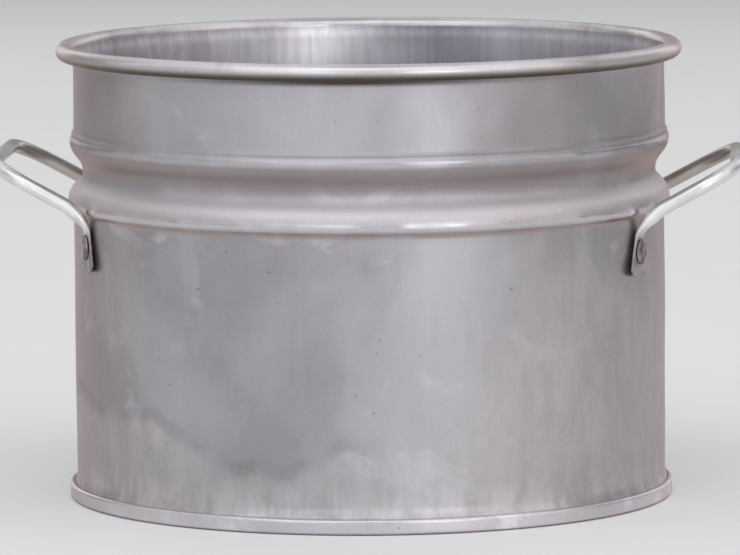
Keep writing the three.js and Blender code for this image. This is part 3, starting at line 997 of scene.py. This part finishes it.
def inside_zinc():
    """Streaked zinc, with a painted pale reflection and a painted dark one across it, and rougher
    near the rim.
    """
    r, colour, grey, rough, relief = zinc_sheet(
        "zinc_inside", light=(0.68, 0.68, 0.72), dark=(0.55, 0.55, 0.59),
        streaks=0.4, roughness=0.42)
    across = r.axis("X")
    # Painted reflections: a pale band and a dark band across the inside wall.
    colour = r.mix(r.band(across, *PAINTED_REFLECTION_BAND), colour, PAINTED_REFLECTION)
    colour = r.mix(r.band(across, *DARK_REFLECTION_BAND), colour, PAINTED_DARK_REFLECTION)
    near_rim = r.span(r.axis("Z"), *NEAR_RIM)
    rough = r.rougher(rough, near_rim, extra=0.2)
    return finish_zinc(r, colour, grey, rough, relief)


def rim_zinc():
    """Brighter zinc on the curl, with painted shade underneath, where it faces down."""
    r, colour, grey, rough, relief = zinc_sheet(
        "zinc_rim", light=(0.76, 0.76, 0.775), dark=(0.6, 0.595, 0.6), roughness=0.36)
    # Painted shade: the curl is darkened from its middle downwards, where it faces down.
    under = r.span(r.axis("Z"), *UNDER_CURL)
    colour = r.mix(under, colour, CURL_PAINTED_SHADE)
    return finish_zinc(r, colour, grey, rough, relief)


def base_zinc():
    """Brighter zinc on the base and its seam, with painted shade along the bottom edge where it
    stands on the floor.
    """
    r, colour, grey, rough, relief = zinc_sheet(
        "zinc_base", light=(0.77, 0.77, 0.79), dark=(0.66, 0.66, 0.68), roughness=0.36)
    # Painted shade: a dark brown band round the seam's rounded bottom edge.
    foot = r.band(r.axis("Z"), *SHADED_BOTTOM_EDGE)
    colour = r.stain(colour, foot, SEAM_PAINTED_SHADE, strength=0.7)
    return finish_zinc(r, colour, grey, rough, relief)


def bright_wire():
    """Zinc-plated wire: smooth and bright, with painted shade towards the back, and at its flat feet
    rust stains and painted shade.
    """
    r = Recipe("bright_wire")
    clouds = r.noise(**WIRE_CLOUDS)
    scratches = r.noise(**SCRATCHES)
    colour = r.mix(r.span(clouds, *WIRE_CLOUD_SPAN), WIRE_DARK, WIRE_LIGHT)
    colour = r.mix(r.span(scratches, *SCRATCH_SPAN), colour, WIRE_SCRATCH)
    # Painted shade: the wire is darkened and browned towards the back, +Y.
    rear_shade = r.span(r.axis("Y"), *REAR_PAINTED_SHADE)
    colour = r.mix(rear_shade, colour, WIRE_PAINTED_SHADE)
    # The flat feet are rougher and darkened: rust-brown stains, and a dark grey that is painted
    # shade.
    dull_and_shaded = r.span(r.axis("Z"), *DULL_SHADED_FOOT)
    stains = r.noise(**FOOT_STAINS)
    foot_colour = r.mix(r.span(stains, *FOOT_STAIN_SPAN), FOOT_PAINTED_SHADE, FOOT_BROWN)
    colour = r.stain(colour, dull_and_shaded, foot_colour, strength=0.85)
    rough = r.rougher(r.span(clouds, *USUAL, *WIRE_ROUGHNESS), dull_and_shaded, extra=0.12)
    normal = r.bump(scratches, distance=0.05 * MM, strength=0.2)
    r.set(Base_Color=colour, Metallic=0.95, Roughness=rough, Normal=normal)
    return r.material


def dull_wire():
    """Plain drawn steel inside the rim's curl, dark with age."""
    r = Recipe("dull_wire")
    patches = r.noise(**STEEL_PATCHES)
    colour = r.mix(r.span(patches, *STEEL_SPAN), STEEL_GREY, STEEL_RUST)
    r.set(Base_Color=colour, Metallic=0.9, Roughness=r.span(patches, *USUAL, *STEEL_ROUGHNESS))
    r.set(Normal=r.bump(patches, distance=0.1 * MM, strength=0.4))
    return r.material


def tarnished_rivet():
    """A dull, brownish steel rivet, blotched with smoother and paler patches."""
    r = Recipe("tarnished_rivet")
    patches = r.noise(**RIVET_PATCHES)
    pits = r.noise(**SPECKS)
    colour = r.mix(r.span(patches, *RIVET_SPAN), RIVET_DARK, RIVET_LIGHT)
    r.set(Base_Color=colour, Metallic=0.9, Roughness=r.span(patches, *USUAL, *RIVET_ROUGHNESS))
    r.set(Normal=r.bump(pits, distance=0.15 * MM, strength=0.4))
    return r.material


def pale_floor():
    r = Recipe("pale_floor")
    mottle = r.noise(**MOTTLE)
    r.set(Base_Color=r.mix(r.span(mottle, *USUAL), GROUND_DARK, GROUND_LIGHT))
    r.set(Roughness=0.8)
    return r.material


# ---- The studio ----

def make_floor():
    half = GROUND_HALF
    mesh = bpy.data.meshes.new("floor")
    corners = [(-half, -half, 0), (half, -half, 0), (half, half, 0), (-half, half, 0)]
    mesh.from_pydata(corners, [], [(0, 1, 2, 3)])
    mesh.materials.append(pale_floor())
    floor = bpy.data.objects.new("floor", mesh)
    bpy.context.collection.objects.link(floor)


def make_camera():
    data = bpy.data.cameras.new("camera")
    data.lens = CAMERA_LENS
    data.sensor_width = CAMERA_SENSOR
    data.clip_end = CAMERA_REACH
    right = Vector((math.cos(CAMERA_TURN), math.sin(CAMERA_TURN), 0))
    ahead = Vector((-right.y, right.x, 0))
    forward = ahead * math.cos(CAMERA_PITCH) - Vector((0, 0, math.sin(CAMERA_PITCH)))
    up = right.cross(forward)
    right, up = (
        right * math.cos(CAMERA_ROLL) - up * math.sin(CAMERA_ROLL),
        up * math.cos(CAMERA_ROLL) + right * math.sin(CAMERA_ROLL),
    )
    camera = bpy.data.objects.new("camera", data)
    turn = Matrix((right, up, -forward)).transposed().to_4x4()
    place = -ahead * CAMERA_DISTANCE + Vector((0, 0, CAMERA_HEIGHT))
    camera.matrix_world = Matrix.Translation(place) @ turn
    bpy.context.collection.objects.link(camera)
    bpy.context.scene.camera = camera


def softbox(azimuth, power, colour, elevation, width, height):
    """An area light that faces the tub. Azimuth 0 is in front, where -Y is, and 90 is at +X."""
    data = bpy.data.lights.new("softbox", "AREA")
    data.shape = "RECTANGLE"
    data.size = width
    data.size_y = height
    data.energy = power * LIGHT_SHARE
    data.color = colour
    turn, rise = math.radians(azimuth), math.radians(elevation)
    direction = Vector((
        math.sin(turn) * math.cos(rise), -math.cos(turn) * math.cos(rise), math.sin(rise)))
    light = bpy.data.objects.new("softbox", data)
    light.location = Vector((0, 0, HEIGHT / 2)) + direction * LIGHT_DISTANCE
    light.rotation_mode = "QUATERNION"
    light.rotation_quaternion = (-direction).to_track_quat("-Z", "Y")
    light.visible_camera = False
    bpy.context.collection.objects.link(light)


def make_lights():
    """Low softboxes, warm at the sides, a ring of stronger ones above them, and flat ones low in
    front, which put crisp highlights on the rolled crests."""
    for azimuth, power in LOW_LIGHTS:
        beside = abs(math.sin(math.radians(azimuth))) > BESIDE
        softbox(azimuth, power, WARM_LIGHT if beside else COOL_LIGHT, **LOW_BOX)
    for azimuth, power in HIGH_LIGHTS:
        softbox(azimuth, power, COOL_LIGHT, **HIGH_BOX)
    for azimuth, power in SLIT_LIGHTS:
        softbox(azimuth, power, COOL_LIGHT, **SLIT_BOX)


def make_backdrop():
    """An even, pale surround, and colours that are shown without a film look."""
    world = bpy.data.worlds.new("studio")
    world.use_nodes = True
    background = world.node_tree.nodes["Background"]
    background.inputs["Color"].default_value = (1, 1, 1, 1)
    background.inputs["Strength"].default_value = BACKDROP_LEVEL
    bpy.context.scene.world = world
    bpy.context.scene.view_settings.view_transform = "Standard"


# ---- Putting it together ----

RIVETS = [
    ("rivet_right_rear", 1, 1),
    ("rivet_right_front", 1, -1),
    ("rivet_left_rear", -1, 1),
    ("rivet_left_front", -1, -1),
]

make_camera()
make_wall(outside_zinc(), inside_zinc(), rim_zinc())
make_base(base_zinc())
make_rim_wire(dull_wire())
wire_material = bright_wire()
make_handle("handle_right", 1, wire_material)
make_handle("handle_left", -1, wire_material)
rivet_material = tarnished_rivet()
for rivet_name, rivet_side, rivet_end in RIVETS:
    make_rivet(rivet_name, rivet_side, rivet_end, rivet_material)
make_floor()
make_lights()
make_backdrop()
